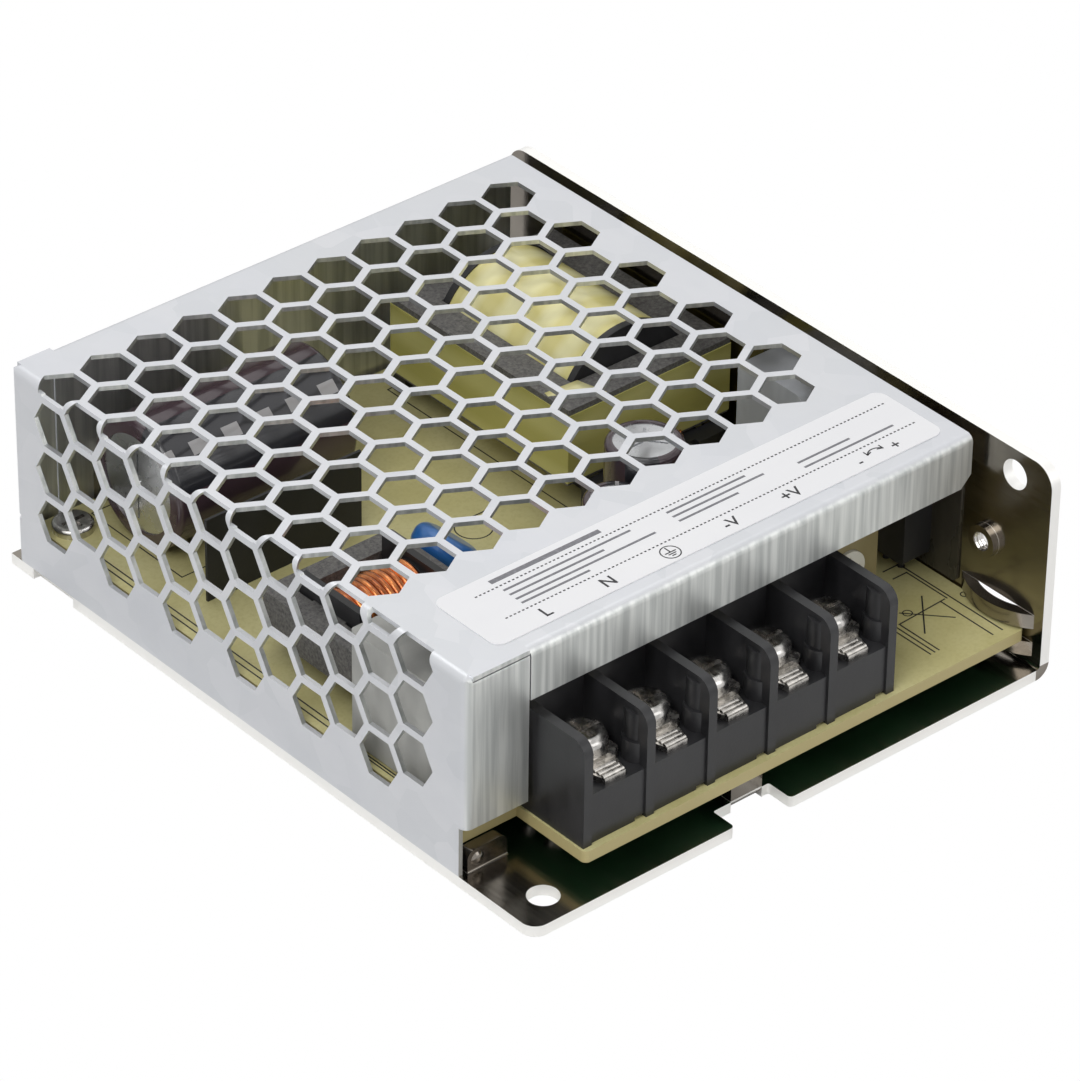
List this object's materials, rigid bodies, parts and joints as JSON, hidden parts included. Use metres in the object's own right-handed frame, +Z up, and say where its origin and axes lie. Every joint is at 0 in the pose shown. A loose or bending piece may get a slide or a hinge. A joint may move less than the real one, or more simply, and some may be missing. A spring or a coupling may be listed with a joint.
{
  "type": "mesh case switching power supply",
  "caption": "Enclosed switching power supply: folded hexagonal-mesh cover on an L-shaped aluminium base, screw terminals at the front, converter parts on a board inside.",
  "frame": {"origin": "middle of the footprint, on the underside of the base", "axes": "+Y from the terminals towards the back, +X from the mesh side to the aluminium wall, +Z up"},
  "size_m": [0.082, 0.099, 0.03],
  "materials": {
    "chassis_aluminium": "mill finish",
    "galvanised_sheet": "satin, zinc plated",
    "label_film": "satin",
    "board_laminate": "satin",
    "clear_film": "gloss",
    "black_plastic": "satin",
    "plated_screw": "bright plated",
    "plated_steel": "bright plated",
    "tinned_brass": "tinned",
    "ferrite": "matt",
    "winding_tape": "gloss",
    "core_tape": "gloss",
    "can_aluminium": "bright",
    "capacitor_sleeve": "gloss",
    "seal_rubber": "matt",
    "enamelled_copper": "gloss enamel",
    "capacitor_case": "satin",
    "blue_coating": "gloss",
    "fuse_body": "matt",
    "thermistor_coating": "satin",
    "silicone_cap": "matt",
    "insulator_sheet": "satin",
    "spring_steel": "bright",
    "trimmer_plastic": "satin",
    "white_plastic": "satin"
  },
  "bodies": {
    "case": {"chassis": "chassis_aluminium", "cover": "galvanised_sheet", "label": "label_film", "circuit_board": "board_laminate", "insulating_film": "clear_film", "barrier_sheet": "black_plastic", "board_screw": "plated_screw", "cover_screws": "plated_screw", "terminal_block": "black_plastic", "terminal_contacts": "tinned_brass", "transformer_core": "ferrite", "transformer_bobbin": "black_plastic", "transformer_winding": "winding_tape", "transformer_tape": "core_tape", "bulk_capacitor": "can_aluminium", "bulk_sleeve": "capacitor_sleeve", "bulk_seal": "seal_rubber", "output_capacitor_1": "can_aluminium", "output_sleeve_1": "capacitor_sleeve", "output_capacitor_2": "can_aluminium", "output_sleeve_2": "capacitor_sleeve", "filter_core": "ferrite", "filter_bobbin": "black_plastic", "filter_winding": "enamelled_copper", "x_capacitor": "capacitor_case", "y_capacitor": "blue_coating", "fuse": "fuse_body", "fuse_caps": "plated_screw", "thermistor": "thermistor_coating", "bridge_rectifier": "black_plastic", "output_rectifier": "black_plastic", "power_transistor": "black_plastic", "transistor_cap": "silicone_cap", "wall_insulator": "insulator_sheet", "rectifier_clip": "spring_steel", "clip_screw": "plated_screw", "choke_core": "ferrite", "choke_winding": "enamelled_copper", "trimmer": "trimmer_plastic", "controller_chip": "black_plastic", "optocoupler": "black_plastic"},
    "washer_1": {"clamp_washer_1": "plated_steel"},
    "screw_1": {"terminal_screw_1": "plated_screw"},
    "washer_2": {"clamp_washer_2": "plated_steel"},
    "screw_2": {"terminal_screw_2": "plated_screw"},
    "washer_3": {"clamp_washer_3": "plated_steel"},
    "screw_3": {"terminal_screw_3": "plated_screw"},
    "washer_4": {"clamp_washer_4": "plated_steel"},
    "screw_4": {"terminal_screw_4": "plated_screw"},
    "washer_5": {"clamp_washer_5": "plated_steel"},
    "screw_5": {"terminal_screw_5": "plated_screw"},
    "rotor": {"trimmer_rotor": "white_plastic"}
  },
  "joints": [
    {"name": "washer_lift_1", "type": "slide", "parent": "case", "child": "washer_1", "axis": [0, 0, 1], "range_m": [0, 0.0024]},
    {"name": "screw_turn_1", "type": "hinge", "parent": "washer_1", "child": "screw_1", "pos_m": [-0.0253, -0.0395, 0.0147], "axis": [0, 0, 1], "range_deg": [0, 1440]},
    {"name": "washer_lift_2", "type": "slide", "parent": "case", "child": "washer_2", "axis": [0, 0, 1], "range_m": [0, 0.0024]},
    {"name": "screw_turn_2", "type": "hinge", "parent": "washer_2", "child": "screw_2", "pos_m": [-0.0158, -0.0395, 0.0147], "axis": [0, 0, 1], "range_deg": [0, 1440]},
    {"name": "washer_lift_3", "type": "slide", "parent": "case", "child": "washer_3", "axis": [0, 0, 1], "range_m": [0, 0.0024]},
    {"name": "screw_turn_3", "type": "hinge", "parent": "washer_3", "child": "screw_3", "pos_m": [-0.0063, -0.0395, 0.0147], "axis": [0, 0, 1], "range_deg": [0, 1440]},
    {"name": "washer_lift_4", "type": "slide", "parent": "case", "child": "washer_4", "axis": [0, 0, 1], "range_m": [0, 0.0024]},
    {"name": "screw_turn_4", "type": "hinge", "parent": "washer_4", "child": "screw_4", "pos_m": [0.0032, -0.0395, 0.0147], "axis": [0, 0, 1], "range_deg": [0, 1440]},
    {"name": "washer_lift_5", "type": "slide", "parent": "case", "child": "washer_5", "axis": [0, 0, 1], "range_m": [0, 0.0024]},
    {"name": "screw_turn_5", "type": "hinge", "parent": "washer_5", "child": "screw_5", "pos_m": [0.0127, -0.0395, 0.0147], "axis": [0, 0, 1], "range_deg": [0, 1440]},
    {"name": "trimmer_turn", "type": "hinge", "parent": "case", "child": "rotor", "pos_m": [0.0253, -0.03, 0.012], "axis": [0, -1, 0], "range_deg": [-135, 135]}
  ],
  "couplings": [
    {"joint": "screw_turn_1", "follows": "washer_lift_1", "rad_per_m": 10472},
    {"joint": "screw_turn_2", "follows": "washer_lift_2", "rad_per_m": 10472},
    {"joint": "screw_turn_3", "follows": "washer_lift_3", "rad_per_m": 10472},
    {"joint": "screw_turn_4", "follows": "washer_lift_4", "rad_per_m": 10472},
    {"joint": "screw_turn_5", "follows": "washer_lift_5", "rad_per_m": 10472}
  ]
}
